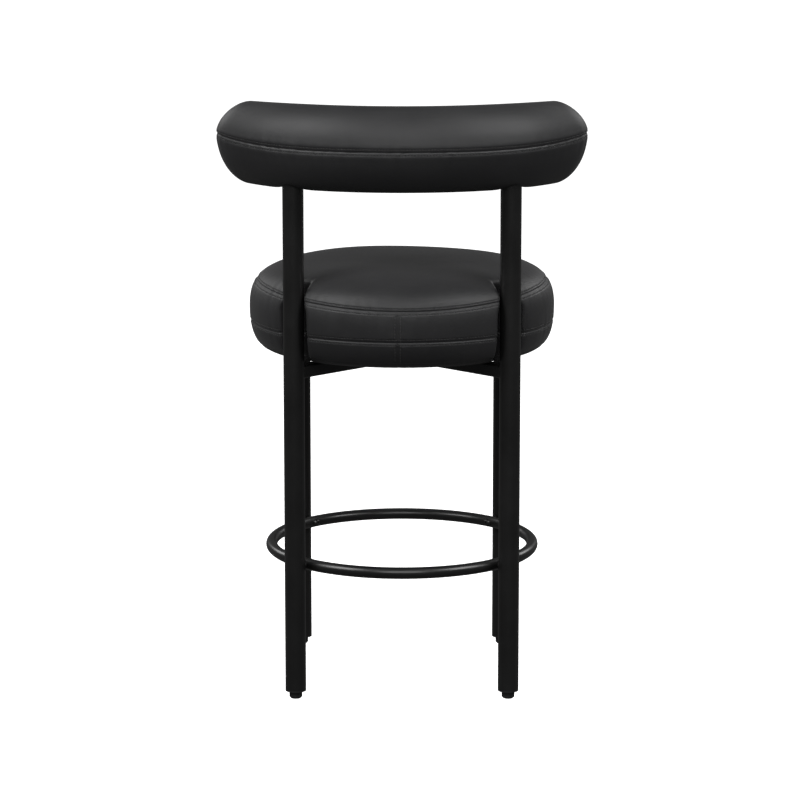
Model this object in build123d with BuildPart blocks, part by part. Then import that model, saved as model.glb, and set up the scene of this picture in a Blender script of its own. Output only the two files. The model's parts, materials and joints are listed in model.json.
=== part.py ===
from build123d import *
from math import asin, cos, degrees, radians, sin, sqrt
import os

# Bar stool with a thick round seat, a curved padded backrest and a ring footrest. Sizes in millimetres.
# +Z is up and the sitter faces +Y, so the backrest is at -Y and the sitter's left is at -X.
# The origin is on the floor, in the middle of the stool's overall width and depth.

# Legs: four round tubes on a square. The rear two run on up into the backrest.
leg_spacing = 327.0
leg_radius = 16.0
leg_wall = 1.5
leg_end_height = 14.0
front_leg_top = 517.0
rear_leg_top = 880.0
cap_thickness = 2.5
cap_depth = 14.0
plug_wall = 2.4
plug_clearance = 0.1

# Feet: a plastic insert in each leg's end holds a threaded stud with a moulded pad.
insert_flange = 2.0
insert_depth = 25.0
insert_chamfer = 0.8
stud_radius = 3.95
thread_bore_radius = 4.0
stud_top = 48.0
stud_foot = 4.0
stud_chamfer = 1.0
stud_hex_radius = 6.45
stud_hex_height = 4.0
pad_radius = 10.0
pad_chamfer = 2.5
pad_top_rounding = 1.0
pad_gap = 0.3

# Brace: a diagonal cross of square tubes under the seat, with the seat plate on top.
brace_top = 520.0
brace_size = 20.0
brace_wall = 1.5
brace_corner = 3.0
plate_size = 160.0
plate_thickness = 3.0
plate_corner = 12.0
screw_offset = 60.0

# Footrest: a tube ring held inside the legs by one bolt to each.
ring_height = 207.5
ring_tube_radius = 9.0
ring_wall = 1.5
washer_thickness = 1.0
washer_radius = 6.5
washer_saddle_depth = 2.0
bush_radius = 5.0
bush_length = 12.0

# Bolts and screws are all M6 with round heads.
bolt_radius = 3.0
bolt_hole_radius = 3.25
head_radius = 5.25
head_height = 3.3
crown_edge = 0.5
bolt_length = 30.0
hex_socket_width = 4.0
hex_socket_depth = 2.0
screw_length = 18.0

# Seat: a plywood board under a thick foam cushion with a sewn cover.
seat_radius = 237.0
seat_crown = 663.0
seat_crown_pull = 190.0
seat_shoulder_pull = 69.0
seat_widest_height = 589.0
seat_hip_pull = 37.0
seat_hem_pull = 34.0
seat_bottom = brace_top + plate_thickness
seat_flat_radius = 196.0
cover_thickness = 1.2
upper_seam_height = 616.0
lower_seam_height = 567.0
hem_radius = 172.0
board_radius = 192.0
board_thickness = 12.0
notch_radius = 26.0
notch_flare_radius = 55.0
notch_flare_offset = 39.0
board_notch_gap = 7.2
dust_cover_gap = 0.5

# Tee nuts and staples
tee_barrel_radius = 4.0
tee_barrel_length = 9.0
tee_flange_radius = 9.5
tee_flange_thickness = 1.5
staple_count = 16
staple_circle_radius = 184.0
staple_crown = 10.0
staple_leg = 7.0
staple_wire = 0.6
staple_width = 1.2

# Backrest: a padded roll of oval section, bent to an arc whose middle line crosses both rear legs.
roll_height = 853.0
roll_arc_radius = 310.0
roll_half_thickness = 45.0
roll_half_height = 64.5
roll_half_width = 281.0
crest_trim = 0.3
arc_bar_height = 40.0
arc_bar_thickness = 4.0
arc_bar_angle = 42.0
weld_gap = 2.0

# Worked out from the above.
leg_half_spacing = leg_spacing / 2
leg_circle_radius = leg_half_spacing * sqrt(2)
roll_centre_to_legs = sqrt(roll_arc_radius**2 - leg_half_spacing**2)
backrest_reach = leg_half_spacing - roll_centre_to_legs + roll_arc_radius + roll_half_thickness
seat_axis_y = (backrest_reach - seat_radius) / 2
roll_centre_y = seat_axis_y - leg_half_spacing + roll_centre_to_legs
roll_end_angle = degrees(asin((roll_half_width - roll_half_thickness) / roll_arc_radius))
insert_bottom = leg_end_height - insert_flange
ring_centre_offset = leg_radius + washer_thickness + ring_tube_radius
ring_radius = leg_circle_radius - ring_centre_offset
head_seat_offset = ring_centre_offset + ring_tube_radius + washer_thickness
board_bottom = seat_bottom + cover_thickness
board_top = board_bottom + board_thickness

# Each corner's name, and the side and row of its leg: -1 is left or rear, +1 is right or front.
CORNERS = {
    "rear_left": (-1, -1),
    "rear_right": (1, -1),
    "front_left": (-1, 1),
    "front_right": (1, 1),
}
seat_axis = Axis((0, seat_axis_y, 0), (0, 0, 1))
roll_axis = Axis((0, roll_centre_y, 0), (0, 0, 1))


def save(piece, name):
    """Labels a finished piece and writes its STEP file."""
    piece.part.label = name
    export_step(piece.part, f"parts/{name}.step")


def leg_plane(side, row, height):
    """A level plane centred on one leg's axis."""
    return Plane((side * leg_half_spacing, seat_axis_y + row * leg_half_spacing, height))


def inward_plane(side, row, offset):
    """An upright plane facing the seat's axis, so far from one leg's axis, at the footrest's height."""
    middle = leg_plane(side, row, ring_height).origin
    return Plane(middle, z_dir=(-side, -row, 0)).offset(offset)


def level_plane(height):
    """A level plane centred on the seat's axis."""
    return Plane((0, seat_axis_y, height))


def seat_section_plane():
    """An upright plane through the seat's axis, for profiles that are turned about it."""
    return Plane((0, seat_axis_y, 0), x_dir=(1, 0, 0), z_dir=(0, -1, 0))


# ---------------------------------------------------------------- legs and feet


def make_leg(name, side, row, top):
    """A straight leg tube, with the hole for its footrest bush through the inner wall."""
    with BuildPart() as leg:
        with BuildSketch(leg_plane(side, row, leg_end_height)):
            Circle(leg_radius)
            Circle(leg_radius - leg_wall, mode=Mode.SUBTRACT)
        extrude(amount=top - leg_end_height)
        with BuildSketch(inward_plane(side, row, 0)):
            Circle(bush_radius)
        extrude(amount=leg_radius, mode=Mode.SUBTRACT)
    save(leg, name)


def make_cap(name, side, row, top):
    """A plastic plug with a low domed head that closes a tube's upper end."""
    with BuildPart() as cap:
        with BuildSketch(leg_plane(side, row, top)):
            Circle(leg_radius)
        extrude(amount=cap_thickness)
        fillet(cap.faces().sort_by(Axis.Z)[-1].edges(), radius=cap_thickness - crown_edge)
        with BuildSketch(leg_plane(side, row, top)):
            Circle(leg_radius - leg_wall - plug_clearance)
            Circle(leg_radius - leg_wall - plug_clearance - plug_wall, mode=Mode.SUBTRACT)
        extrude(amount=-cap_depth)
    save(cap, name)


def make_foot_insert(name, side, row):
    """A plastic insert that closes the leg's lower end and holds the glide's thread."""
    with BuildPart() as insert:
        with BuildSketch(leg_plane(side, row, insert_bottom)):
            Circle(leg_radius)
        extrude(amount=insert_flange)
        with BuildSketch(leg_plane(side, row, leg_end_height)):
            Circle(leg_radius - leg_wall - plug_clearance)
        extrude(amount=insert_depth)
        with BuildSketch(leg_plane(side, row, insert_bottom)):
            Circle(thread_bore_radius)
        extrude(amount=insert_flange + insert_depth, mode=Mode.SUBTRACT)
        chamfer(insert.edges().sort_by(Axis.Z)[-1], length=insert_chamfer)
    save(insert, name)


def make_glide(corner, side, row):
    """A levelling glide: a threaded stud, and the pad moulded round its foot."""
    with BuildPart() as stud:
        with BuildSketch(leg_plane(side, row, stud_foot)):
            Circle(stud_radius)
        extrude(amount=stud_top - stud_foot)
        chamfer(stud.faces().sort_by(Axis.Z)[-1].edges(), length=stud_chamfer)
        with BuildSketch(leg_plane(side, row, stud_foot)):
            RegularPolygon(stud_hex_radius, 6)
        extrude(amount=stud_hex_height)
    save(stud, f"glide_stud_{corner}")

    with BuildPart() as pad:
        with BuildSketch(leg_plane(side, row, 0)):
            Circle(pad_radius)
        extrude(amount=insert_bottom - pad_gap)
        chamfer(pad.faces().sort_by(Axis.Z)[0].edges(), length=pad_chamfer)
        fillet(pad.faces().sort_by(Axis.Z)[-1].edges(), radius=pad_top_rounding)
        add(stud.part, mode=Mode.SUBTRACT)
    save(pad, f"glide_pad_{corner}")


# ---------------------------------------------------------------- brace


def make_brace_bar(name, side, row, start):
    """A brace bar that runs from one leg towards the seat's axis and stops at start from that axis.

    A negative start carries it across to the opposite leg. Its ends are hollowed to fit the legs.
    """
    middle = (0, seat_axis_y, brace_top - brace_size / 2)
    along = Plane(middle, x_dir=(-row, side, 0), z_dir=(side, row, 0))
    bore = brace_size - 2 * brace_wall
    with BuildPart() as bar:
        with BuildSketch(along.offset(start)):
            RectangleRounded(brace_size, brace_size, brace_corner)
            RectangleRounded(bore, bore, brace_corner - brace_wall, mode=Mode.SUBTRACT)
        extrude(amount=leg_circle_radius - start)
        for end_side, end_row in ((side, row), (-side, -row)):
            with BuildSketch(leg_plane(end_side, end_row, brace_top - brace_size)):
                Circle(leg_radius)
            extrude(amount=brace_size, mode=Mode.SUBTRACT)
    save(bar, name)


def make_seat_plate():
    """The flat plate welded on the crossing, with four holes for the seat screws."""
    with BuildPart() as plate:
        with BuildSketch(level_plane(brace_top)):
            RectangleRounded(plate_size, plate_size, plate_corner)
            with PolarLocations(screw_offset, 4):
                Circle(bolt_hole_radius, mode=Mode.SUBTRACT)
        extrude(amount=plate_thickness)
    save(plate, "seat_plate")


# ---------------------------------------------------------------- footrest


def ring_tube_solid():
    """The ring's tube without its bore, used to shape what sits against it."""
    with BuildPart() as solid:
        with BuildSketch(seat_section_plane()):
            with Locations((ring_radius, ring_height)):
                Circle(ring_tube_radius)
        revolve(axis=seat_axis)
    return solid.part


def make_footrest_ring():
    """The footrest's hollow tube ring, drilled through for a bolt at each leg.

    Its skin is four equal drilled quarters, each in front of one leg, joined at their ends into one closed
    ring.
    """
    with BuildPart() as quarter:
        with BuildSketch(seat_section_plane()):
            with Locations((ring_radius, ring_height)):
                Circle(ring_tube_radius)
                Circle(ring_tube_radius - ring_wall, mode=Mode.SUBTRACT)
        revolve(axis=seat_axis, revolution_arc=90)
        with BuildSketch(inward_plane(1, 1, leg_radius)):
            Circle(bolt_hole_radius)
        extrude(amount=2 * ring_centre_offset, mode=Mode.SUBTRACT)
    walls = [face for face in quarter.part.faces() if face.geom_type != GeomType.PLANE]
    skin = [face.rotate(seat_axis, 90 * turn) for turn in range(4) for face in walls]
    with BuildPart() as ring:
        add(Solid(Shell(skin)), clean=False)
    save(ring, "footrest_ring")


def make_ring_fasteners():
    """The footrest's bushes, saddle washers and bolts, one set at each leg."""
    with BuildPart() as bushes:
        for side, row in CORNERS.values():
            with BuildSketch(inward_plane(side, row, leg_radius - bush_length)):
                Circle(bush_radius)
                Circle(bolt_radius, mode=Mode.SUBTRACT)
            extrude(amount=bush_length)
            with BuildSketch(leg_plane(side, row, ring_height - bush_radius)):
                Circle(leg_radius + bush_radius)
                Circle(leg_radius, mode=Mode.SUBTRACT)
            extrude(amount=2 * bush_radius, mode=Mode.SUBTRACT)
    save(bushes, "ring_bushes")

    ring_tube = ring_tube_solid()
    with BuildPart() as washers:
        for side, row in CORNERS.values():
            saddle_start = leg_radius - washer_saddle_depth
            for near, far in ((saddle_start, ring_centre_offset), (ring_centre_offset, head_seat_offset)):
                with BuildSketch(inward_plane(side, row, near)):
                    Circle(washer_radius)
                    Circle(bolt_hole_radius, mode=Mode.SUBTRACT)
                extrude(amount=far - near)
            with BuildSketch(leg_plane(side, row, ring_height - washer_radius)):
                Circle(leg_radius)
            extrude(amount=2 * washer_radius, mode=Mode.SUBTRACT)
        add(ring_tube, mode=Mode.SUBTRACT)
    save(washers, "ring_saddle_washers")

    solids = [
        round_head_bolt(inward_plane(side, row, head_seat_offset), bolt_length)
        for side, row in CORNERS.values()
    ]
    with BuildPart() as bolts:
        add(solids)
    save(bolts, "ring_bolts")


def round_head_bolt(plane, length):
    """A round-head bolt with a hexagon socket: its head stands on the plane and its shank goes below it."""
    with BuildPart() as bolt:
        with BuildSketch(plane):
            Circle(head_radius)
        extrude(amount=head_height)
        crown_rim = bolt.faces().sort_by(Axis(plane.origin, plane.z_dir))[-1].edges()
        fillet(crown_rim, radius=head_height - crown_edge)
        with BuildSketch(plane.offset(head_height)):
            RegularPolygon(hex_socket_width / 2, 6, major_radius=False)
        extrude(amount=-hex_socket_depth, mode=Mode.SUBTRACT)
        with BuildSketch(plane):
            Circle(bolt_radius)
        extrude(amount=-length)
    return bolt.part


# ---------------------------------------------------------------- seat


def cushion_solid(inset):
    """The seat cushion's outer shape, made smaller all round by inset, with the two rear leg notches."""
    top = seat_crown - inset
    bottom = seat_bottom + inset
    side_radius = seat_radius - inset
    flare = notch_flare_offset / sqrt(2)
    with BuildPart() as cushion:
        with BuildSketch(seat_section_plane()):
            with BuildLine():
                crown = Bezier(
                    (0, top),
                    (seat_crown_pull, top),
                    (side_radius, seat_widest_height + seat_shoulder_pull),
                    (side_radius, seat_widest_height),
                )
                hip = Bezier(
                    (side_radius, seat_widest_height),
                    (side_radius, seat_widest_height - seat_hip_pull),
                    (seat_flat_radius + seat_hem_pull, bottom),
                    (seat_flat_radius, bottom),
                )
                Polyline(hip @ 1, (0, bottom), crown @ 0)
            make_face()
        revolve(axis=seat_axis)
        for side in (-1, 1):
            with BuildSketch(leg_plane(side, -1, seat_bottom)):
                Circle(notch_radius + inset)
                with Locations((side * flare, -flare)):
                    Circle(notch_flare_radius + inset)
            extrude(amount=seat_crown - seat_bottom, mode=Mode.SUBTRACT)
    return cushion.part


def make_seat_board(staples, tee_nuts):
    """The plywood board that carries the cushion, cut away round the rear legs and drilled for tee nuts."""
    with BuildPart() as board:
        with BuildSketch(level_plane(board_bottom)):
            Circle(board_radius)
            with Locations(*[(side * leg_half_spacing, -leg_half_spacing) for side in (-1, 1)]):
                Circle(notch_radius + board_notch_gap, mode=Mode.SUBTRACT)
            with PolarLocations(screw_offset, 4):
                Circle(tee_barrel_radius, mode=Mode.SUBTRACT)
        extrude(amount=board_thickness)
        add(staples, mode=Mode.SUBTRACT)
        add(tee_nuts, mode=Mode.SUBTRACT)
    save(board, "seat_board")


def make_seat_screws():
    """Four round-head screws that hold the seat to its plate, with their heads below it."""
    solids = [
        round_head_bolt(Plane((x, seat_axis_y + y, brace_top), z_dir=(0, 0, -1)), screw_length)
        for x, y in ((screw_offset, 0), (0, screw_offset), (-screw_offset, 0), (0, -screw_offset))
    ]
    with BuildPart() as screws:
        add(solids)
    save(screws, "seat_screws")
    return screws.part


def make_tee_nuts():
    """Four tee nuts: a flange on the board's top and a threaded barrel down its hole."""
    with BuildPart() as nuts:
        with BuildSketch(level_plane(board_top)):
            with PolarLocations(screw_offset, 4):
                Circle(tee_flange_radius)
                Circle(bolt_radius, mode=Mode.SUBTRACT)
        extrude(amount=tee_flange_thickness)
        with BuildSketch(level_plane(board_top)):
            with PolarLocations(screw_offset, 4):
                Circle(tee_barrel_radius)
                Circle(bolt_radius, mode=Mode.SUBTRACT)
        extrude(amount=-tee_barrel_length)
    save(nuts, "seat_tee_nuts")
    return nuts.part


def make_staples():
    """The staples that hold the cover's hem to the board's underside."""
    with BuildPart() as staples:
        with BuildSketch(level_plane(seat_bottom)):
            with PolarLocations(staple_circle_radius, staple_count, start_angle=180 / staple_count):
                Rectangle(staple_width, staple_crown)
        extrude(amount=-staple_wire)
        with BuildSketch(level_plane(seat_bottom)):
            with PolarLocations(staple_circle_radius, staple_count, start_angle=180 / staple_count):
                with Locations((0, (staple_crown - staple_wire) / 2), (0, (staple_wire - staple_crown) / 2)):
                    Rectangle(staple_width, staple_wire)
        extrude(amount=staple_leg)
    save(staples, "seat_staples")
    return staples.part


def make_seat():
    """The seat: board, foam, three cover panels, dust cover and what fastens them."""
    staples = make_staples()
    tee_nuts = make_tee_nuts()
    screws = make_seat_screws()
    make_seat_board(staples, tee_nuts)
    outside = cushion_solid(0)
    padding = cushion_solid(cover_thickness)

    with BuildPart() as foam:
        add(padding)
        with BuildSketch(level_plane(board_bottom)):
            Circle(board_radius)
        extrude(amount=board_thickness, mode=Mode.SUBTRACT)
        add(tee_nuts, mode=Mode.SUBTRACT)
        add(screws, mode=Mode.SUBTRACT)
    save(foam, "seat_foam")

    panels = {
        "seat_top_cover": (upper_seam_height, seat_crown),
        "seat_side_band": (lower_seam_height, upper_seam_height),
        "seat_lower_band": (seat_bottom, lower_seam_height),
    }
    for name, (low, high) in panels.items():
        with BuildPart() as panel:
            with BuildSketch(level_plane(low)):
                Circle(2 * seat_radius)
            extrude(amount=high - low)
            add(outside, mode=Mode.INTERSECT)
            add(padding, mode=Mode.SUBTRACT)
            if low == seat_bottom:
                with BuildSketch(level_plane(low)):
                    Circle(hem_radius)
                extrude(amount=cover_thickness, mode=Mode.SUBTRACT)
                add(staples, mode=Mode.SUBTRACT)
        save(panel, name)

    with BuildPart() as dust_cover:
        with BuildSketch(level_plane(seat_bottom)):
            Circle(hem_radius - dust_cover_gap)
            with PolarLocations(screw_offset, 4):
                Circle(bolt_hole_radius, mode=Mode.SUBTRACT)
        extrude(amount=cover_thickness)
    save(dust_cover, "seat_dust_cover")


# ---------------------------------------------------------------- backrest


def roll_solid(inset):
    """The padded roll, made smaller all round by inset: an oval section turned about the arc's centre.

    The left half is made first, from its end to the middle, and its end is closed by half of the same oval
    turned about its own upright middle line. The oval is cut off just flat at top and bottom, so that no end
    comes to a point there. The right half is the left one given a half turn about a level line fore and aft.
    """
    half_thickness = roll_half_thickness - inset
    half_height = roll_half_height - inset
    oval_half_height = half_height + crest_trim
    across = Vector(-sin(radians(roll_end_angle)), -cos(radians(roll_end_angle)), 0)
    end_centre = Vector(0, roll_centre_y, roll_height) + across * roll_arc_radius
    end_plane = Plane(end_centre, x_dir=across, z_dir=across.rotate(Axis.Z, -90))
    with BuildPart() as half:
        with BuildSketch(end_plane):
            Ellipse(half_thickness, oval_half_height)
            Rectangle(2 * half_thickness, 2 * half_height, mode=Mode.INTERSECT)
        revolve(axis=roll_axis, revolution_arc=roll_end_angle)
        with BuildSketch(end_plane):
            Ellipse(half_thickness, oval_half_height)
            with Locations((half_thickness / 2, 0)):
                Rectangle(half_thickness, 2 * half_height, mode=Mode.INTERSECT)
        revolve(axis=Axis(end_centre, (0, 0, 1)), revolution_arc=-180)
    other_half = half.part.rotate(Axis((0, 0, roll_height), (0, 1, 0)), 180)
    with BuildPart() as roll:
        add(half.part)
        add(other_half)
    return roll.part


def make_arc_bar():
    """The bent flat bar welded across the front of the two posts, inside the roll."""
    outer = roll_arc_radius - leg_radius
    with BuildPart() as bar:
        with BuildSketch(Plane((0, roll_centre_y, roll_height), x_dir=(0, -1, 0), z_dir=(-1, 0, 0))):
            with Locations((outer - arc_bar_thickness / 2, 0)):
                Rectangle(arc_bar_thickness, arc_bar_height)
        revolve(axis=roll_axis, revolution_arc=arc_bar_angle)
        mirror(about=Plane.YZ)
    save(bar, "backrest_arc_bar")
    return bar.part


def make_backrest():
    """The backrest: arc bar, foam, and the upper and lower covers that meet in one seam all round.

    The foam is cut a little wider round each post at the bar's height, where the weld is.
    """
    arc_bar = make_arc_bar()
    with BuildPart() as post_space:
        for side in (-1, 1):
            with BuildSketch(leg_plane(side, -1, seat_crown)):
                Circle(leg_radius)
            extrude(amount=rear_leg_top + cap_thickness - seat_crown)
            with BuildSketch(leg_plane(side, -1, roll_height - arc_bar_height / 2)):
                Circle(leg_radius + weld_gap)
            extrude(amount=arc_bar_height)

    outside = roll_solid(0)
    padding = roll_solid(cover_thickness)
    with BuildPart() as foam:
        add(padding)
        add(arc_bar, mode=Mode.SUBTRACT)
        add(post_space.part, mode=Mode.SUBTRACT)
    save(foam, "backrest_foam")

    with BuildPart() as upper:
        add(outside)
        split(bisect_by=Plane.XY.offset(roll_height), keep=Keep.TOP)
        add(padding, mode=Mode.SUBTRACT)
    save(upper, "backrest_upper_cover")

    with BuildPart() as lower:
        add(outside)
        split(bisect_by=Plane.XY.offset(roll_height), keep=Keep.BOTTOM)
        add(padding, mode=Mode.SUBTRACT)
        add(post_space.part, mode=Mode.SUBTRACT)
    save(lower, "backrest_lower_cover")


def main():
    os.makedirs("parts", exist_ok=True)
    for corner, (side, row) in CORNERS.items():
        top = rear_leg_top if row < 0 else front_leg_top
        cap = corner.replace("rear_", "post_cap_").replace("front_", "front_leg_cap_")
        make_leg(corner.replace("_", "_leg_"), side, row, top)
        make_cap(cap, side, row, top)
        make_foot_insert(f"foot_insert_{corner}", side, row)
        make_glide(corner, side, row)
    make_brace_bar("brace_bar_long", 1, 1, -leg_circle_radius)
    make_brace_bar("brace_bar_half_left", -1, 1, brace_size / 2)
    make_brace_bar("brace_bar_half_right", 1, -1, brace_size / 2)
    make_seat_plate()
    make_footrest_ring()
    make_ring_fasteners()
    make_seat()
    make_backrest()


main()
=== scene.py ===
"""The looks of a bar stool with a round padded seat, a curved roll backrest and a ring footrest.

Everything is in metres in the frame's own axes: +Z up, the sitter faces +Y and the backrest is at -Y.
Sizes and places come from the frame's boxes, and the named values below say what is sewn, worn or glossy.
"""

import json
import math

import bpy
import numpy as np
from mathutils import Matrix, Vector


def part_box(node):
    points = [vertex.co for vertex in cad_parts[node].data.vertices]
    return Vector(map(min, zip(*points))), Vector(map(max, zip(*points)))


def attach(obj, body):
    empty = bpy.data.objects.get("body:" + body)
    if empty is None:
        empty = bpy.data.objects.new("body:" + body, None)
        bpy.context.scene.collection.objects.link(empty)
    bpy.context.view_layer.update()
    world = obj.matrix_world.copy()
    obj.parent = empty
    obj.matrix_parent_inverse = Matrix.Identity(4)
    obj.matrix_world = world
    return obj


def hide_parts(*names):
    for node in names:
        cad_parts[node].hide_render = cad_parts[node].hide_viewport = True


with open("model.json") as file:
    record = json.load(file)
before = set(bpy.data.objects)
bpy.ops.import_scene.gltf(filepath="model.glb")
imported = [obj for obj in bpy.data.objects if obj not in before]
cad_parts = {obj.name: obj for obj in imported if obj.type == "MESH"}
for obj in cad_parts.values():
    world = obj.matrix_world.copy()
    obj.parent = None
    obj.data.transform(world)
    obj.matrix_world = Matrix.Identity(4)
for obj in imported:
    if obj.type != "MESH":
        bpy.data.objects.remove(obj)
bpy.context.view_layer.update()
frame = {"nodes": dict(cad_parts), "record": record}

# Sewing, in metres.
SEAM_DEPTH = 0.0016
SEAM_HALF_WIDTH = 0.0021
STITCH_PITCH = 0.0046
STITCH_LENGTH = 0.0032
STITCH_RADIUS = 0.00048
STITCH_GAP = 0.0042
FURROW_HALF_WIDTH = 0.0012
FURROW_SHARE = 0.45
PUCKER_HEIGHT = 0.0005
PUCKER_REACH = 0.016

# Seat cushion.
SEAT_CROWN_PULL = 0.80
SEAT_SHOULDER_PULL = 0.069
SEAT_WIDEST_HEIGHT = 0.589
SEAT_HIP_PULL = 0.037
SEAT_HEM_PULL = 0.034
SEAT_FLAT_RADIUS = 0.196
SHOULDER_HEIGHT = 0.645
UPPER_SEAM_LOW = 0.613
UPPER_SEAM_RISE = 0.017
WELT_HEIGHT = 0.0095
VALLEY_DEPTH = 0.033
VALLEY_HALF_WIDTH = 0.0275
VALLEY_TOP_HALF_WIDTH = 0.019
VALLEY_CLEAR = 0.020
VALLEY_ROUNDING = 0.005
VALLEY_TOP_BLEND = 0.005
PLEAT_HEIGHT = 0.0009
CROWN_WAVE = 0.0012
BACK_SEAM_OFFSET = -0.0065
SEAT_TURNS = 1000
CROWN_ROWS = 70
SIDE_ROWS = 230

# Backrest roll.
ROLL_HALF_THICKNESS = 0.045
ROLL_CAP_LENGTH = 0.060
ROLL_END_ANGLE = math.radians(47.5)
ROLL_FULLNESS = 1.86
ROLL_ROWS = 72
ROLL_STEP = 0.0021
ROLL_SEAM_RISE = 0.005
ROLL_END_TAPER = 0.030
POST_PULL = 0.002
ROLL_WAVE = 0.0010

# Weld beads, round the square end of each brace bar.
WELD_RADIUS = 0.0017
WELD_CORNER = 0.003
WELD_STEPS = 72
WELD_SIDES = 10

# Studio. The floor's section is a disc, a curved corner and an upright wall.
FLOOR_DROP = 0.009
FLOOR_MIDDLE = 1.5
FLOOR_RADIUS = 9.0
FLOOR_CORNER = 3.0
FLOOR_WALL = 9.0
FLOOR_TURNS = 72
STAGE_GLOW = 0.93
SURROUND_LIGHT = 0.085
KEY_TARGET = (0, 0, 0.8)
FILL_TARGET = (0, 0, 0.6)

# Camera.
CAMERA_PLACE = (-0.003, -5.0614, 1.4014)
CAMERA_PITCH = math.radians(10.78)
CAMERA_LENS = 148.32
CAMERA_SENSOR = 36.0
CAMERA_REACH = 60

STOOL = "stool"
SLOTS = {entry["node"]: entry["material_slot"] for entry in frame["record"]["subparts"]}


# ---------------------------------------------------------------- places, from the frame


def centre_and_radius(node):
    """The centre in plan, and the half width, of a node that is round in plan."""
    low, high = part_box(node)
    return (low.x + high.x) / 2, (low.y + high.y) / 2, (high.x - low.x) / 2


LEG_X, REAR_LEG_Y, LEG_RADIUS = centre_and_radius("rear_leg_right")
FRONT_LEG_Y = centre_and_radius("front_leg_right")[1]
SEAT_Y = (REAR_LEG_Y + FRONT_LEG_Y) / 2
SEAT_RADIUS = (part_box("seat_side_band")[1].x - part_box("seat_side_band")[0].x) / 2
SEAT_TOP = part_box("seat_top_cover")[1].z
SEAT_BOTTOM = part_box("seat_lower_band")[0].z
LOWER_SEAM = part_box("seat_lower_band")[1].z
HEM_RADIUS = centre_and_radius("seat_dust_cover")[2]
POST_ANGLES = [math.atan2(REAR_LEG_Y - SEAT_Y, side * LEG_X) for side in (-1, 1)]

ROLL_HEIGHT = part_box("backrest_upper_cover")[0].z
ROLL_HALF_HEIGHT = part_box("backrest_upper_cover")[1].z - ROLL_HEIGHT
ROLL_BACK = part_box("backrest_upper_cover")[0].y
POST_BEHIND = REAR_LEG_Y - (ROLL_BACK + ROLL_HALF_THICKNESS)
ROLL_ARC_RADIUS = (POST_BEHIND**2 + LEG_X**2) / (2 * POST_BEHIND)
ROLL_CENTRE_Y = ROLL_BACK + ROLL_HALF_THICKNESS + ROLL_ARC_RADIUS


# ---------------------------------------------------------------- node helpers


def new_material(name):
    """A material with nodes, its shader, and a short function that adds a node with its inputs set."""
    material = bpy.data.materials.new(name)
    material.use_nodes = True
    tree = material.node_tree
    shader = tree.nodes["Principled BSDF"]

    def add_node(kind, **inputs):
        node = tree.nodes.new(kind)
        for key, value in inputs.items():
            socket = node.inputs[key.replace("_", " ")]
            if isinstance(value, bpy.types.NodeSocket):
                tree.links.new(value, socket)
            else:
                socket.default_value = value
        return node

    return material, shader, add_node, tree.links.new


def ramp(add_node, factor, stops):
    """A colour ramp over factor, with stops of (place, grey or colour)."""
    node = add_node("ShaderNodeValToRGB", Fac=factor)
    elements = node.color_ramp.elements
    while len(elements) < len(stops):
        elements.new(0.5)
    for element, (place, colour) in zip(elements, stops):
        element.position = place
        rgb = colour if isinstance(colour, tuple) else (colour, colour, colour)
        element.color = (*rgb, 1.0)
    return node.outputs["Color"]


def noise(add_node, vector, scale, detail=3.0, roughness=0.55):
    """Noise over object space, in features of about 1/scale metres."""
    node = add_node("ShaderNodeTexNoise", Vector=vector, Scale=scale, Detail=detail, Roughness=roughness)
    return node.outputs["Fac"]


def bump(add_node, height, strength, distance, normal=None):
    """A bump from height, on top of an earlier bump if there is one."""
    node = add_node("ShaderNodeBump", Height=height, Strength=strength, Distance=distance)
    if normal is not None:
        node.id_data.links.new(normal, node.inputs["Normal"])
    return node.outputs["Normal"]


def object_space(add_node):
    """Places in the object's own metres, for textures."""
    return add_node("ShaderNodeTexCoord").outputs["Object"]


# ---------------------------------------------------------------- materials


def leather():
    """Smooth black leather or leather-look cloth: fine grain, soft creases and slightly uneven gloss."""
    material, shader, add_node, link = new_material("black_leather")
    place = object_space(add_node)
    drift = noise(add_node, place, 9.0, 4.0)
    grain = add_node("ShaderNodeTexVoronoi", Vector=place, Scale=780.0, Randomness=1.0)
    grain.feature = "DISTANCE_TO_EDGE"
    pebbles = ramp(add_node, grain.outputs["Distance"], [(0.0, 0.0), (0.16, 0.75), (0.5, 1.0)])
    pores = noise(add_node, place, 1900.0, 2.0)
    creases = noise(add_node, place, 46.0, 5.0, 0.62)
    link(ramp(add_node, drift, [(0.3, (0.0115, 0.0115, 0.0125)), (0.7, (0.0175, 0.0175, 0.0185))]),
         shader.inputs["Base Color"])
    link(ramp(add_node, drift, [(0.3, 0.47), (0.7, 0.56)]), shader.inputs["Roughness"])
    normal = bump(add_node, creases, 0.16, 0.0011)
    normal = bump(add_node, pebbles, 0.20, 0.00022, normal)
    normal = bump(add_node, pores, 0.10, 0.0001, normal)
    link(normal, shader.inputs["Normal"])
    shader.inputs["Specular IOR Level"].default_value = 0.55
    shader.inputs["Sheen Weight"].default_value = 0.06
    shader.inputs["Sheen Roughness"].default_value = 0.4
    return material


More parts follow.
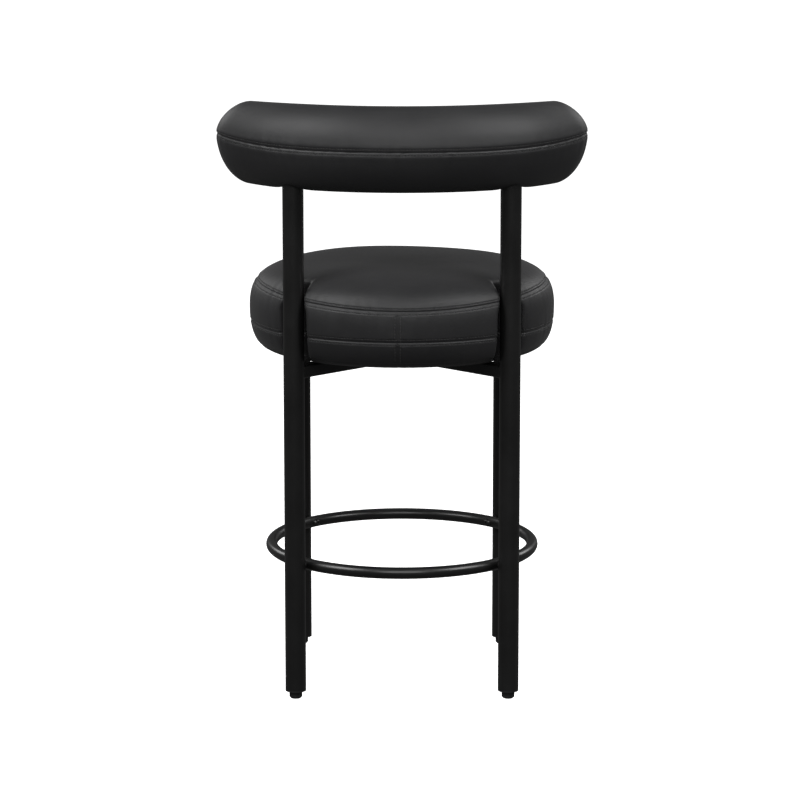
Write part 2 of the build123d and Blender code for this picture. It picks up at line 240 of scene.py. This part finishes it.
def powder_coat(name, roughness, base, coat):
    """Black powder coat: a faint orange peel, dust-fine speckle and small rub marks where it is handled."""
    material, shader, add_node, link = new_material(name)
    place = object_space(add_node)
    peel = noise(add_node, place, 520.0, 2.0)
    speckle = noise(add_node, place, 2600.0, 1.0)
    rubs = noise(add_node, place, 14.0, 6.0, 0.7)
    link(ramp(add_node, rubs, [(0.35, base), (0.75, base * 1.5)]), shader.inputs["Base Color"])
    link(ramp(add_node, rubs, [(0.3, roughness - 0.04), (0.75, roughness + 0.07)]),
         shader.inputs["Roughness"])
    normal = bump(add_node, peel, 0.10, 0.0003)
    normal = bump(add_node, speckle, 0.06, 0.00008, normal)
    link(normal, shader.inputs["Normal"])
    shader.inputs["Coat Weight"].default_value = coat
    shader.inputs["Coat Roughness"].default_value = 0.16
    return material


def moulded_plastic():
    """Matte black moulded plastic with a fine spark-eroded texture and scuffs."""
    material, shader, add_node, link = new_material("black_plastic")
    place = object_space(add_node)
    texture = noise(add_node, place, 1500.0, 3.0)
    scuffs = noise(add_node, place, 60.0, 6.0, 0.75)
    link(ramp(add_node, scuffs, [(0.4, 0.012), (0.8, 0.03)]), shader.inputs["Base Color"])
    link(ramp(add_node, scuffs, [(0.3, 0.48), (0.8, 0.66)]), shader.inputs["Roughness"])
    link(bump(add_node, texture, 0.25, 0.0001), shader.inputs["Normal"])
    return material


def steel(name, colour, roughness):
    """Plated or blackened steel, finely brushed, with a little tarnish."""
    material, shader, add_node, link = new_material(name)
    place = object_space(add_node)
    tarnish = noise(add_node, place, 90.0, 5.0)
    marks = noise(add_node, place, 3200.0, 2.0)
    darker = tuple(0.72 * part for part in colour)
    link(ramp(add_node, tarnish, [(0.35, darker), (0.65, colour)]), shader.inputs["Base Color"])
    link(ramp(add_node, tarnish, [(0.3, roughness), (0.7, roughness + 0.14)]), shader.inputs["Roughness"])
    link(bump(add_node, marks, 0.12, 0.00006), shader.inputs["Normal"])
    shader.inputs["Metallic"].default_value = 1.0
    return material


def thread():
    """Twisted black sewing thread."""
    material, shader, add_node, link = new_material("black_thread")
    place = object_space(add_node)
    twist = noise(add_node, place, 3000.0, 1.0)
    link(ramp(add_node, twist, [(0.35, 0.02), (0.65, 0.055)]), shader.inputs["Base Color"])
    link(ramp(add_node, twist, [(0.35, 0.38), (0.65, 0.5)]), shader.inputs["Roughness"])
    link(bump(add_node, twist, 0.4, 0.0002), shader.inputs["Normal"])
    return material


def plywood():
    """Plain birch plywood: long grain on its faces, with a little figure."""
    material, shader, add_node, link = new_material("plywood")
    place = object_space(add_node)
    stretched = add_node("ShaderNodeMapping", Vector=place, Scale=(9.0, 120.0, 700.0)).outputs["Vector"]
    grain = noise(add_node, stretched, 1.0, 6.0, 0.6)
    link(ramp(add_node, grain, [(0.3, (0.42, 0.27, 0.14)), (0.7, (0.62, 0.45, 0.27))]),
         shader.inputs["Base Color"])
    link(ramp(add_node, grain, [(0.3, 0.6), (0.7, 0.75)]), shader.inputs["Roughness"])
    link(bump(add_node, grain, 0.2, 0.0003), shader.inputs["Normal"])
    return material


def open_foam():
    """Pale upholstery foam with open cells, hidden by the covers; the hollows of the cells are painted
    darker, as painted shade.
    """
    material, shader, add_node, link = new_material("foam")
    place = object_space(add_node)
    cells = add_node("ShaderNodeTexVoronoi", Vector=place, Scale=900.0)
    depth = cells.outputs["Distance"]
    # Painted shade: the colour is darker towards each cell's middle, which the bump below sinks into a
    # hollow.
    link(ramp(add_node, depth, [(0.0, (0.45, 0.38, 0.2)), (0.6, (0.75, 0.68, 0.45))]),
         shader.inputs["Base Color"])
    link(ramp(add_node, depth, [(0.0, 0.8), (0.6, 0.95)]), shader.inputs["Roughness"])
    link(bump(add_node, depth, 0.5, 0.0005), shader.inputs["Normal"])
    return material


def nonwoven():
    """Black spun-bonded dust cloth: tangled fibres pressed in a fine grid of dots."""
    material, shader, add_node, link = new_material("black_nonwoven")
    place = object_space(add_node)
    dots = add_node("ShaderNodeTexVoronoi", Vector=place, Scale=520.0, Randomness=0.12)
    fibres = noise(add_node, place, 1400.0, 5.0, 0.7)
    link(ramp(add_node, fibres, [(0.35, 0.010), (0.7, 0.032)]), shader.inputs["Base Color"])
    link(ramp(add_node, fibres, [(0.35, 0.8), (0.7, 0.95)]), shader.inputs["Roughness"])
    normal = bump(add_node, dots.outputs["Distance"], 0.5, 0.0004)
    link(bump(add_node, fibres, 0.4, 0.0002, normal), shader.inputs["Normal"])
    return material


MATERIALS = {
    "black_leather": leather(),
    "black_powder_coat": powder_coat("black_powder_coat", 0.36, 0.0065, 0.15),
    "black_gloss_coat": powder_coat("black_gloss_coat", 0.33, 0.0075, 0.22),
    "black_plastic": moulded_plastic(),
    "black_bolts": powder_coat("black_bolts", 0.3, 0.012, 0.2),
    "zinc_steel": steel("zinc_steel", (0.62, 0.61, 0.57), 0.28),
    "plywood": plywood(),
    "foam": open_foam(),
    "black_nonwoven": nonwoven(),
}
THREAD = thread()


# ---------------------------------------------------------------- mesh helpers


def mesh_object(name, points, faces, material):
    """A new smooth-shaded object from points and faces, riding on the stool."""
    mesh = bpy.data.meshes.new(name)
    mesh.from_pydata([tuple(point) for point in points], [], faces)
    mesh.validate()
    mesh.polygons.foreach_set("use_smooth", [True] * len(mesh.polygons))
    mesh.materials.append(material)
    made = bpy.data.objects.new(name, mesh)
    bpy.context.collection.objects.link(made)
    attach(made, STOOL)
    return made


def grid_faces(rows, columns, closed):
    """Quads over a grid of points stored row by row; a closed grid joins its last column to its first."""
    faces = []
    for row in range(rows - 1):
        for column in range(columns if closed else columns - 1):
            following = (column + 1) % columns
            first = row * columns
            below = first + columns
            faces.append((first + column, first + following, below + following, below + column))
    return faces


def bezier(ends, pulls, t):
    """Points along a cubic curve from ends[0] to ends[1], with its two pulls between."""
    a, d = (np.array(end)[:, None] for end in ends)
    b, c = (np.array(pull)[:, None] for pull in pulls)
    return (1 - t) ** 3 * a + 3 * (1 - t) ** 2 * t * b + 3 * (1 - t) * t**2 * c + t**3 * d


def groove(distance, half_width=SEAM_HALF_WIDTH, stitched=True):
    """How deep a sewn seam pulls the cover in: 1 on the seam, 0 away from it, with a slight puff beside.

    A stitched seam also has a fine furrow under each of its two lines of topstitching.
    """
    near = np.exp(-((distance / half_width) ** 2))
    puff = np.exp(-(((np.abs(distance) - 4.2 * half_width) / (2.2 * half_width)) ** 2))
    furrows = np.exp(-(((np.abs(distance) - STITCH_GAP) / FURROW_HALF_WIDTH) ** 2))
    return near - 0.16 * puff + (FURROW_SHARE * furrows if stitched else 0)


def pucker(along, distance, seed):
    """Small uneven gathers that run off a seam and fade away from it, between about -1 and 1."""
    waves = [(151, 0.7), (233, 2.1), (317, 4.4), (389, 1.3), (97, 5.2)]
    ripple = sum(np.sin(rate * along + phase + seed * rate) for rate, phase in waves) / 2.4
    slow = 0.6 + 0.4 * np.sin(19 * along + seed) * np.sin(7.3 * along + 2 * seed)
    return ripple * slow * np.exp(-((np.abs(distance) / PUCKER_REACH) ** 1.4))


def stitch_line(points, normals, closed):
    """Single stitches laid end to end along a path, each a short rounded thread half sunk in the cover."""
    path = np.asarray(points)
    if closed:
        path = np.vstack([path, path[:1]])
        normals = np.vstack([normals, normals[:1]])
    lengths = np.concatenate([[0], np.cumsum(np.linalg.norm(np.diff(path, axis=0), axis=1))])
    count = int(lengths[-1] / STITCH_PITCH)
    middles = (np.arange(count) + 0.5) * lengths[-1] / count
    profile = [(-0.5, -0.8), (-0.42, 0.15), (-0.25, 0.75), (0.25, 0.75), (0.42, 0.15), (0.5, -0.8)]
    verts, faces = [], []
    for middle in middles:
        ends = [np.array([np.interp(middle + step * STITCH_LENGTH, lengths, path[:, axis])
                          for axis in range(3)])
                for step in (-0.5, 0.5)]
        centre = (ends[0] + ends[1]) / 2
        along = ends[1] - ends[0]
        out = np.array([np.interp(middle, lengths, normals[:, axis]) for axis in range(3)])
        out = out / np.linalg.norm(out)
        side = np.cross(out, along / np.linalg.norm(along))
        base = len(verts)
        for where, lift in profile:
            for turn in range(6):
                angle = math.pi * turn / 3
                thick = STITCH_RADIUS * (0.55 if abs(where) == 0.5 else 1.0)
                verts.append(centre + where * along + out * (lift + 0.2) * STITCH_RADIUS
                             + thick * (math.cos(angle) * side + math.sin(angle) * out))
        for ring in range(len(profile) - 1):
            for turn in range(6):
                after = (turn + 1) % 6
                low = base + 6 * ring
                faces.append((low + turn, low + after, low + 6 + after, low + 6 + turn))
        faces.append(tuple(base + turn for turn in reversed(range(6))))
        faces.append(tuple(base + 6 * (len(profile) - 1) + turn for turn in range(6)))
    return verts, faces


def stitches(name, lines):
    """One object holding several lines of stitches, each (points, normals, closed)."""
    verts, faces = [], []
    for points, normals, closed in lines:
        new_verts, new_faces = stitch_line(points, normals, closed)
        faces += [tuple(index + len(verts) for index in face) for face in new_faces]
        verts += new_verts
    mesh_object(name, verts, faces, THREAD)


# ---------------------------------------------------------------- seat


def seat_profile(crown_rows, side_rows):
    """Radius and height down the seat's section, from the crown's middle to the hem under it.

    The rows are spaced evenly down to where the crown turns into the side, and more closely from there on.
    """
    t = np.linspace(0, 1, 400)
    crown = bezier(((0, SEAT_TOP), (SEAT_RADIUS, SEAT_WIDEST_HEIGHT)),
                   ((SEAT_CROWN_PULL * SEAT_RADIUS, SEAT_TOP),
                    (SEAT_RADIUS, SEAT_WIDEST_HEIGHT + SEAT_SHOULDER_PULL)), t)
    hip = bezier(((SEAT_RADIUS, SEAT_WIDEST_HEIGHT), (SEAT_FLAT_RADIUS, SEAT_BOTTOM)),
                 ((SEAT_RADIUS, SEAT_WIDEST_HEIGHT - SEAT_HIP_PULL),
                  (SEAT_FLAT_RADIUS + SEAT_HEM_PULL, SEAT_BOTTOM)), t)
    hem = np.array([[SEAT_FLAT_RADIUS, HEM_RADIUS], [SEAT_BOTTOM, SEAT_BOTTOM]])
    whole = np.hstack([crown, hip[:, 1:], hem[:, 1:]])
    lengths = np.concatenate([[0], np.cumsum(np.hypot(*np.diff(whole, axis=1)))])
    turn = lengths[np.argmax(whole[1] < SHOULDER_HEIGHT)]
    rows = np.concatenate([np.linspace(0, turn, crown_rows, endpoint=False),
                           np.linspace(turn, lengths[-1], side_rows)])
    return np.interp(rows, lengths, whole[0]), np.interp(rows, lengths, whole[1])


def upper_seam_height(angle):
    """The upper seam's height round the seat: lowest at the back and front, highest at the sides."""
    return UPPER_SEAM_LOW + UPPER_SEAM_RISE * np.cos(angle) ** 2


def valley(angle, height):
    """How far, from 0 to 1, the seat's side is drawn in to clear each rear leg; narrower over its top."""
    total = np.zeros_like(angle)
    above = 1 / (1 + np.exp((UPPER_SEAM_LOW - height) / VALLEY_TOP_BLEND))
    half_width = VALLEY_HALF_WIDTH + (VALLEY_TOP_HALF_WIDTH - VALLEY_HALF_WIDTH) * above
    for post in POST_ANGLES:
        gap = np.angle(np.exp(1j * (angle - post))) * SEAT_RADIUS
        total += 1 / (1 + np.abs(gap / half_width) ** 7)
    return total


def seat_surface(angle, radius, height):
    """Points on the sewn seat cover: the plain section with its valleys, seams, gathers and hem added."""
    limit = SEAT_RADIUS + VALLEY_CLEAR - (VALLEY_DEPTH + VALLEY_CLEAR) * valley(angle, height)
    drawn = -VALLEY_ROUNDING * np.logaddexp(-radius / VALLEY_ROUNDING, -limit / VALLEY_ROUNDING)
    along = angle * SEAT_RADIUS
    seams = (upper_seam_height(angle), LOWER_SEAM, SEAT_BOTTOM + WELT_HEIGHT)
    side = np.clip((radius - 0.75 * SEAT_FLAT_RADIUS) / 0.03, 0, 1)
    depth = groove(height - seams[0]) + groove(height - seams[1])
    depth += 0.45 * groove(height - seams[2], 0.6 * SEAM_HALF_WIDTH, False)
    back_seam = np.angle(np.exp(1j * (angle + math.pi / 2))) * SEAT_RADIUS - BACK_SEAM_OFFSET
    below = 1 / (1 + np.exp((height - seams[0]) / 0.001))
    depth = np.maximum(depth, 0.8 * groove(back_seam) * below)
    ripple = pucker(along, height - seams[0], 0.3) + 0.8 * pucker(along, height - seams[1], 1.7)
    ripple += 0.6 * pucker(along, height - SEAT_BOTTOM, 3.1)
    under = np.clip((SEAT_FLAT_RADIUS + 0.012 - radius) / 0.01, 0, 1) * (height < SEAT_WIDEST_HEIGHT)
    drawn = drawn - (SEAM_DEPTH * depth - PUCKER_HEIGHT * ripple) * side * (1 - under)
    drawn = np.minimum(drawn, SEAT_RADIUS + 0.002)
    pleats = PLEAT_HEIGHT * under * np.abs(np.sin(46 * angle + 0.8 * np.sin(5 * angle)))
    crown_wave = CROWN_WAVE * np.sin(3 * angle + 1.1) * np.exp(-((radius / SEAT_RADIUS - 0.6) / 0.25) ** 2)
    lifted = height + pleats + crown_wave * (height > seams[0])
    return np.stack([drawn * np.cos(angle), SEAT_Y + drawn * np.sin(angle), lifted], axis=-1)


def seat_point_at(angle, height):
    """Points and outward directions on the seat's side at the given heights."""
    radii, heights = seat_profile(100, 800)
    top = int(np.argmax(heights < SEAT_TOP - 0.02))
    bottom = int(np.argmax(heights <= SEAT_BOTTOM + 0.0001))
    falling, widths = heights[top:bottom][::-1], radii[top:bottom][::-1]

    def place(turn, level):
        return seat_surface(turn, np.interp(level, falling, widths), level)

    angle, height = np.broadcast_arrays(np.asarray(angle, float), np.asarray(height, float))
    middle = place(angle, height)
    over = place(angle, height + 0.0015) - place(angle, height - 0.0015)
    around = place(angle + 0.004, height) - place(angle - 0.004, height)
    out = np.cross(around, over)
    return middle, out / np.linalg.norm(out, axis=-1, keepdims=True)


def make_seat_cover():
    """The seat's sewn cover, from its crown over the side bands to the hem under the board."""
    radii, heights = seat_profile(CROWN_ROWS, SIDE_ROWS)
    angles = np.linspace(-math.pi, math.pi, SEAT_TURNS, endpoint=False)
    angle_grid, radius_grid = np.meshgrid(angles, radii[1:])
    height_grid = np.repeat(heights[1:, None], SEAT_TURNS, axis=1)
    points = seat_surface(angle_grid, radius_grid, height_grid).reshape(-1, 3)
    crown = len(points)
    points = np.vstack([points, [[0, SEAT_Y, SEAT_TOP]]])
    faces = [face[::-1] for face in grid_faces(len(radii) - 1, SEAT_TURNS, True)]
    faces += [(crown, turn, (turn + 1) % SEAT_TURNS) for turn in range(SEAT_TURNS)]
    cover = mesh_object("seat_cushion_cover", points, faces, MATERIALS["black_leather"])
    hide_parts("seat_top_cover", "seat_side_band", "seat_lower_band", "seat_foam")


def make_seat_stitches():
    """Double topstitching along both seams and down the back seam."""
    angles = np.linspace(-math.pi, math.pi, 1440, endpoint=False)
    lines = []
    for seam in (upper_seam_height(angles), np.full_like(angles, LOWER_SEAM)):
        for offset in (-STITCH_GAP, STITCH_GAP):
            points, normals = seat_point_at(angles, seam + offset)
            lines.append((points, normals, True))
    heights = np.linspace(UPPER_SEAM_LOW - 1.6 * STITCH_GAP, SEAT_BOTTOM + WELT_HEIGHT, 60)
    for side in (-1, 1):
        turn = np.full_like(heights, (BACK_SEAM_OFFSET + side * STITCH_GAP) / SEAT_RADIUS - math.pi / 2)
        points, normals = seat_point_at(turn, heights)
        lines.append((points, normals, False))
    stitches("seat_topstitching", lines)


# ---------------------------------------------------------------- backrest


def roll_outline():
    """The roll's seam in plan: the distance round, middle-line point and outward arm at each step."""
    outer = ROLL_ARC_RADIUS + ROLL_HALF_THICKNESS
    arc_steps = int(2 * ROLL_END_ANGLE * outer / ROLL_STEP)
    cap_steps = int(math.pi * ROLL_CAP_LENGTH / ROLL_STEP)
    middles, arms = [], []

    def arm_at(angle):
        return np.array([math.sin(angle), -math.cos(angle)])

    for step in range(arc_steps):
        angle = ROLL_END_ANGLE * (2 * step / arc_steps - 1)
        middles.append(ROLL_ARC_RADIUS * arm_at(angle))
        arms.append(ROLL_HALF_THICKNESS * arm_at(angle))
    for end in (1, -1):
        across = arm_at(end * ROLL_END_ANGLE)
        onward = np.array([math.cos(ROLL_END_ANGLE), end * math.sin(ROLL_END_ANGLE)]) * end
        for step in range(cap_steps):
            turn = math.pi * step / cap_steps
            if end < 0:
                turn = math.pi - turn
            middles.append(ROLL_ARC_RADIUS * across)
            arms.append(ROLL_HALF_THICKNESS * math.cos(turn) * across
                        + ROLL_CAP_LENGTH * math.sin(turn) * onward)
        if end > 0:
            for step in range(arc_steps):
                angle = ROLL_END_ANGLE * (1 - 2 * step / arc_steps)
                middles.append(ROLL_ARC_RADIUS * arm_at(angle))
                arms.append(-ROLL_HALF_THICKNESS * arm_at(angle))
    middles = np.array(middles) + [0, ROLL_CENTRE_Y]
    arms = np.array(arms)
    edge = middles + arms
    round_to_next = np.linalg.norm(np.roll(edge, -1, axis=0) - edge, axis=1)
    return np.concatenate([[0], np.cumsum(round_to_next)[:-1]]), middles, arms


def roll_surface(outline, level):
    """Points of the sewn roll at each outline step, for levels from -1 (underneath) to 1 (on top)."""
    along, middles, arms = outline
    along, level = np.broadcast_arrays(along[None, :], level[:, None])
    angle = np.abs(level) * math.pi / 2
    reach = np.cos(angle) ** (2 / ROLL_FULLNESS)
    rise = np.sign(level) * np.sin(angle) ** (2 / ROLL_FULLNESS) * ROLL_HALF_HEIGHT
    depth = SEAM_DEPTH * groove(rise)
    ripple = PUCKER_HEIGHT * np.where(level < 0, 1.5, 0.8) * pucker(along, rise, 2.3)
    slow = ROLL_WAVE * np.sin(11 * along + 0.5) * np.sin(math.pi * np.abs(level))
    arm_lengths = np.linalg.norm(arms, axis=1)
    shrink = 1 - (depth - ripple - slow) / arm_lengths[None, :] * (reach > 0.05)
    plan = middles[None] + arms[None] * (reach * shrink)[..., None]
    pull = np.zeros_like(rise)
    for side in (-1, 1):
        gap = np.hypot(plan[..., 0] - side * LEG_X, plan[..., 1] - REAR_LEG_Y)
        pull += POST_PULL * np.exp(-((np.maximum(gap - LEG_RADIUS, 0) / 0.008) ** 1.6))
    end = np.abs(plan[..., 0]) / (ROLL_ARC_RADIUS * math.sin(ROLL_END_ANGLE))
    seam_rise = ROLL_SEAM_RISE * end**5 * (1 - np.abs(level)) ** 2
    height = ROLL_HEIGHT + rise * (1 - ROLL_END_TAPER * end**5) + seam_rise + np.where(level < 0, pull, 0)
    return np.concatenate([plan, height[..., None]], axis=-1)


def make_roll_cover():
    """The roll's two sewn panels, which meet in one seam all round."""
    outline = roll_outline()
    columns = len(outline[0])
    levels = np.sin(np.linspace(-math.pi / 2, math.pi / 2, 2 * ROLL_ROWS + 1))
    levels = np.sign(levels) * np.abs(levels) ** 1.35
    points = roll_surface(outline, levels).reshape(-1, 3)
    faces = grid_faces(len(levels), columns, True)
    cover = mesh_object("backrest_roll_cover", points, faces, MATERIALS["black_leather"])
    joined = cover.modifiers.new("joined_crest", "WELD")
    joined.merge_threshold = 0.0002
    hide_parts("backrest_upper_cover", "backrest_lower_cover", "backrest_foam")


def make_roll_stitches():
    """One line of topstitching just above the roll's seam, and one just below it."""
    outline = roll_outline()
    lines = []
    for side in (1, -1):
        angle = math.asin((STITCH_GAP / ROLL_HALF_HEIGHT) ** (ROLL_FULLNESS / 2))
        level = side * angle / (math.pi / 2)
        low, middle, high = roll_surface(outline, np.array([level - 0.01, level, level + 0.01]))
        around = np.roll(middle, -1, axis=0) - np.roll(middle, 1, axis=0)
        normals = np.cross(around, high - low)
        lines.append((middle, normals / np.linalg.norm(normals, axis=1, keepdims=True), True))
    stitches("backrest_topstitching", lines)


# ---------------------------------------------------------------- weld beads


def weld_bead(name, path):
    """A rippled weld bead laid round a closed path of points."""
    path = np.asarray(path, float)
    verts = []
    for index, point in enumerate(path):
        along = path[(index + 1) % len(path)] - path[index - 1]
        along /= np.linalg.norm(along)
        side = np.cross(along, (0.31, 0.17, 0.93))
        side /= np.linalg.norm(side)
        up = np.cross(side, along)
        thick = WELD_RADIUS * (1 + 0.13 * math.sin(index * 1.35))
        for turn in range(WELD_SIDES):
            angle = math.tau * turn / WELD_SIDES
            verts.append(point + thick * (math.cos(angle) * side + math.sin(angle) * up))
    faces = grid_faces(len(path), WELD_SIDES, True)
    last = WELD_SIDES * (len(path) - 1)
    faces += [(last + turn, last + (turn + 1) % WELD_SIDES, (turn + 1) % WELD_SIDES, turn)
              for turn in range(WELD_SIDES)]
    mesh_object(name, verts, faces, MATERIALS["black_powder_coat"])


def make_brace_welds():
    """One bead round each end of the brace, where it meets its leg."""
    low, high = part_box("brace_bar_long")
    top, bottom = high.z, low.z
    half = (top - bottom) / 2
    for name, side, row_y in (("rear_left", -1, REAR_LEG_Y), ("rear_right", 1, REAR_LEG_Y),
                              ("front_left", -1, FRONT_LEG_Y), ("front_right", 1, FRONT_LEG_Y)):
        leg = np.array([side * LEG_X, row_y])
        inward = np.array([0, SEAT_Y]) - leg
        inward /= np.linalg.norm(inward)
        sideways = np.array([-inward[1], inward[0]])
        corner = half - WELD_CORNER
        path = []
        for step in range(WELD_STEPS):
            angle = math.tau * step / WELD_STEPS
            across = half * max(-1, min(1, 1.25 * math.cos(angle)))
            level = half * max(-1, min(1, 1.25 * math.sin(angle)))
            excess = max(0, abs(across) + abs(level) - half - corner) / 2
            across -= math.copysign(excess, across)
            level -= math.copysign(excess, level)
            out = math.sqrt(LEG_RADIUS**2 - across**2)
            plan = leg + inward * out + sideways * across
            path.append((plan[0], plan[1], (top + bottom) / 2 + level))
        weld_bead(f"brace_weld_{name}", path)


# ---------------------------------------------------------------- carried-over nodes


def dress_cad_nodes():
    """Gives every carried-over node the material of its slot."""
    for name, node in frame["nodes"].items():
        node.data.materials.clear()
        node.data.materials.append(MATERIALS[SLOTS[name]])


# ---------------------------------------------------------------- stage, light and camera


def stage_surface():
    """A plain pale floor that curves up far away into a plain pale wall all round.

    It is a little below the feet, so that a glide stays in view when it is wound out.
    """
    flat = FLOOR_RADIUS - FLOOR_CORNER
    section = [(FLOOR_MIDDLE, 0.0), (flat, 0.0)]
    section += [(flat + FLOOR_CORNER * math.sin(a), FLOOR_CORNER - FLOOR_CORNER * math.cos(a))
                for a in np.linspace(0.1, math.pi / 2, 14)]
    section.append((FLOOR_RADIUS, FLOOR_WALL))
    angles = [math.tau * turn / FLOOR_TURNS for turn in range(FLOOR_TURNS)]
    verts = [(r * math.cos(angle), r * math.sin(angle), z - FLOOR_DROP)
             for r, z in section for angle in angles]
    faces = [face[::-1] for face in grid_faces(len(section), FLOOR_TURNS, True)]
    faces.append(tuple(range(FLOOR_TURNS)))
    material, shader, add_node, link = new_material("studio_white")
    place = object_space(add_node)
    link(ramp(add_node, noise(add_node, place, 3.0), [(0.0, 0.93), (1.0, 0.95)]), shader.inputs["Base Color"])
    shader.inputs["Roughness"].default_value = 0.9
    shader.inputs["Specular IOR Level"].default_value = 0.0
    shader.inputs["Emission Color"].default_value = (1, 1, 1, 1)
    shader.inputs["Emission Strength"].default_value = STAGE_GLOW
    mesh = bpy.data.meshes.new("studio_floor")
    mesh.from_pydata(verts, [], faces)
    mesh.polygons.foreach_set("use_smooth", [True] * len(mesh.polygons))
    mesh.materials.append(material)
    floor = bpy.data.objects.new("studio_floor", mesh)
    bpy.context.collection.objects.link(floor)
    floor.visible_glossy = False
    floor.visible_diffuse = False
    floor.visible_shadow = False


def area_light(name, place, target, width, height, power):
    """A soft box at place that shines at target."""
    data = bpy.data.lights.new(name, "AREA")
    data.shape = "RECTANGLE"
    data.size, data.size_y = width, height
    data.energy = power
    light = bpy.data.objects.new(name, data)
    light.location = place
    aim = np.array(target) - np.array(place)
    pitch = math.acos(-aim[2] / np.linalg.norm(aim))
    light.rotation_euler = (pitch, 0, math.atan2(-aim[0], aim[1]))
    bpy.context.collection.objects.link(light)


def light_the_scene():
    """A dim pale surround and six soft boxes: three on the viewer's side, two opposite and one above."""
    world = bpy.data.worlds.new("studio")
    world.use_nodes = True
    world.node_tree.nodes["Background"].inputs["Color"].default_value = (1, 1, 1, 1)
    world.node_tree.nodes["Background"].inputs["Strength"].default_value = SURROUND_LIGHT
    bpy.context.scene.world = world
    area_light("key_left", (-3.2, -1.7, 3.7), KEY_TARGET, 2.2, 2.2, 125)
    area_light("key_right", (3.2, -1.7, 3.7), KEY_TARGET, 2.2, 2.2, 105)
    area_light("behind_viewer", (0, -4.8, 3.6), KEY_TARGET, 3.2, 2.6, 95)
    area_light("front_left", (-3.6, 3.6, 2.8), FILL_TARGET, 2.0, 2.0, 45)
    area_light("front_right", (3.6, 3.6, 2.8), FILL_TARGET, 2.0, 2.0, 45)
    area_light("top", (0, 0, 4.6), FILL_TARGET, 2.6, 2.6, 10)
    scene = bpy.context.scene
    scene.view_settings.view_transform = "Standard"
    scene.view_settings.look = "None"
    scene.view_settings.exposure = 0.0


def make_camera():
    """The camera behind the stool, a little above the backrest, on its centre plane."""
    data = bpy.data.cameras.new("camera")
    data.sensor_width = CAMERA_SENSOR
    data.lens = CAMERA_LENS
    camera = bpy.data.objects.new("camera", data)
    camera.location = CAMERA_PLACE
    camera.rotation_euler = (math.pi / 2 - CAMERA_PITCH, 0, 0)
    data.clip_end = CAMERA_REACH
    bpy.context.collection.objects.link(camera)
    bpy.context.scene.camera = camera


dress_cad_nodes()
make_seat_cover()
make_seat_stitches()
make_roll_cover()
make_roll_stitches()
make_brace_welds()
stage_surface()
light_the_scene()
make_camera()
